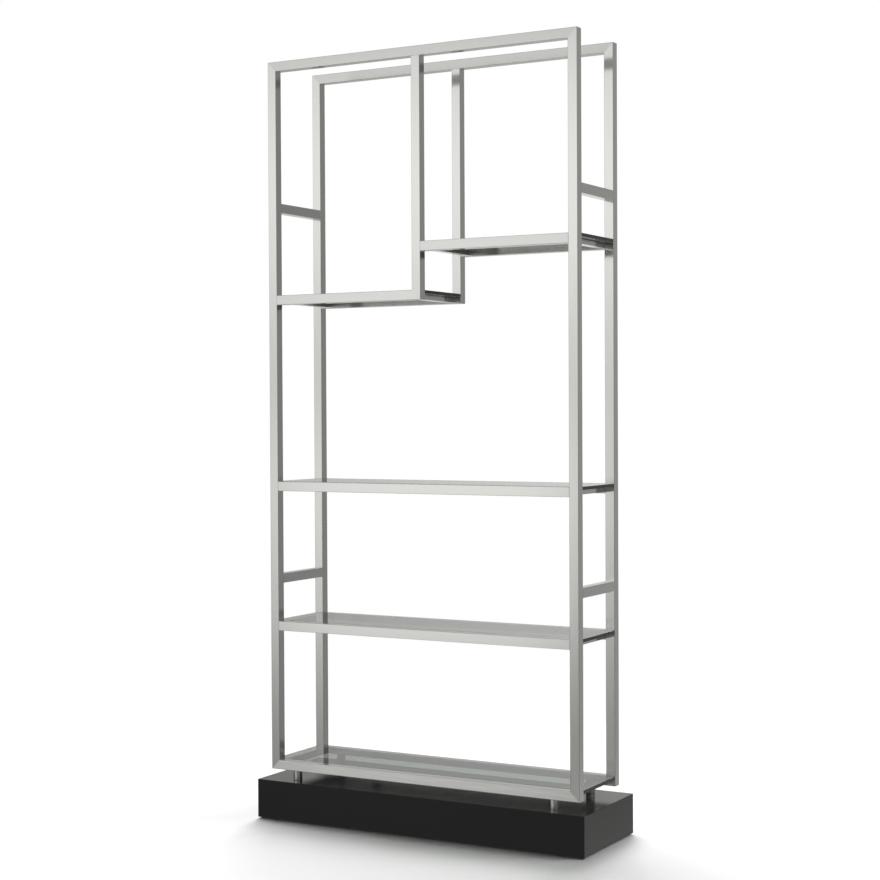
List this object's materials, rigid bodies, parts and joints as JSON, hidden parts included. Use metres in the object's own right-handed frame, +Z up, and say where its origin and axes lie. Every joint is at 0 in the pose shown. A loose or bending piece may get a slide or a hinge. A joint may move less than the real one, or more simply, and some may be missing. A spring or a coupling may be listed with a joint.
{
  "type": "open shelving unit",
  "caption": "Tall open shelving unit: flat frames of square steel tube carry grey-tinted glass shelves at stepped heights, on short round legs over a polished black stone base.",
  "frame": {"origin": "on the floor under the middle of the base", "axes": "+Z up, -Y towards the front, +X to the right seen from the front"},
  "size_m": [1.14, 0.356, 2.4],
  "materials": {
    "brushed_steel": "brushed",
    "shelf_glass": "grey tint, polished edges",
    "black_stone": "polished",
    "batten_timber": "sawn",
    "zinc_steel": "zinc plated",
    "glide_nylon": "moulded"
  },
  "bodies": {
    "frame_and_base": {"front_left_post": "brushed_steel", "front_right_post": "brushed_steel", "front_middle_post": "brushed_steel", "front_top_rail": "brushed_steel", "front_bottom_rail": "brushed_steel", "front_lower_rail": "brushed_steel", "front_middle_rail": "brushed_steel", "front_upper_left_rail": "brushed_steel", "front_upper_right_rail": "brushed_steel", "back_left_post": "brushed_steel", "back_right_post": "brushed_steel", "back_middle_post": "brushed_steel", "back_top_rail": "brushed_steel", "back_bottom_rail": "brushed_steel", "back_lower_rail": "brushed_steel", "back_middle_rail": "brushed_steel", "back_upper_left_rail": "brushed_steel", "back_upper_right_rail": "brushed_steel", "lower_left_side_rail": "brushed_steel", "lower_right_side_rail": "brushed_steel", "upper_left_side_rail": "brushed_steel", "upper_right_side_rail": "brushed_steel", "bottom_shelf_left_bearer": "brushed_steel", "bottom_shelf_right_bearer": "brushed_steel", "lower_shelf_left_bearer": "brushed_steel", "lower_shelf_right_bearer": "brushed_steel", "middle_shelf_left_bearer": "brushed_steel", "middle_shelf_right_bearer": "brushed_steel", "upper_left_shelf_left_bearer": "brushed_steel", "upper_left_shelf_right_bearer": "brushed_steel", "upper_right_shelf_left_bearer": "brushed_steel", "upper_right_shelf_right_bearer": "brushed_steel", "base_top_slab": "black_stone", "base_front_slab": "black_stone", "base_back_slab": "black_stone", "base_left_slab": "black_stone", "base_right_slab": "black_stone", "base_front_batten": "batten_timber", "base_back_batten": "batten_timber", "front_left_leg": "brushed_steel", "front_right_leg": "brushed_steel", "back_left_leg": "brushed_steel", "back_right_leg": "brushed_steel", "front_left_bolt": "zinc_steel", "front_left_rivet_nut": "zinc_steel", "front_left_glide": "glide_nylon", "front_right_bolt": "zinc_steel", "front_right_rivet_nut": "zinc_steel", "front_right_glide": "glide_nylon", "back_left_bolt": "zinc_steel", "back_left_rivet_nut": "zinc_steel", "back_left_glide": "glide_nylon", "back_right_bolt": "zinc_steel", "back_right_rivet_nut": "zinc_steel", "back_right_glide": "glide_nylon"},
    "bottom_shelf": {"bottom_shelf_glass": "shelf_glass"},
    "lower_shelf": {"lower_shelf_glass": "shelf_glass"},
    "middle_shelf": {"middle_shelf_glass": "shelf_glass"},
    "upper_left_shelf": {"upper_left_shelf_glass": "shelf_glass"},
    "upper_right_shelf": {"upper_right_shelf_glass": "shelf_glass"}
  },
  "joints": [
    {"name": "bottom_shelf_lift", "type": "slide", "parent": "frame_and_base", "child": "bottom_shelf", "axis": [0, 0, 1], "range_m": [0, 0.411]},
    {"name": "lower_shelf_lift", "type": "slide", "parent": "frame_and_base", "child": "lower_shelf", "axis": [0, 0, 1], "range_m": [0, 0.113]},
    {"name": "middle_shelf_lift", "type": "slide", "parent": "frame_and_base", "child": "middle_shelf", "axis": [0, 0, 1], "range_m": [0, 0.558]},
    {"name": "upper_left_shelf_lift", "type": "slide", "parent": "frame_and_base", "child": "upper_left_shelf", "axis": [0, 0, 1], "range_m": [0, 0.115]},
    {"name": "upper_right_shelf_lift", "type": "slide", "parent": "frame_and_base", "child": "upper_right_shelf", "axis": [0, 0, 1], "range_m": [0, 0.111]}
  ]
}
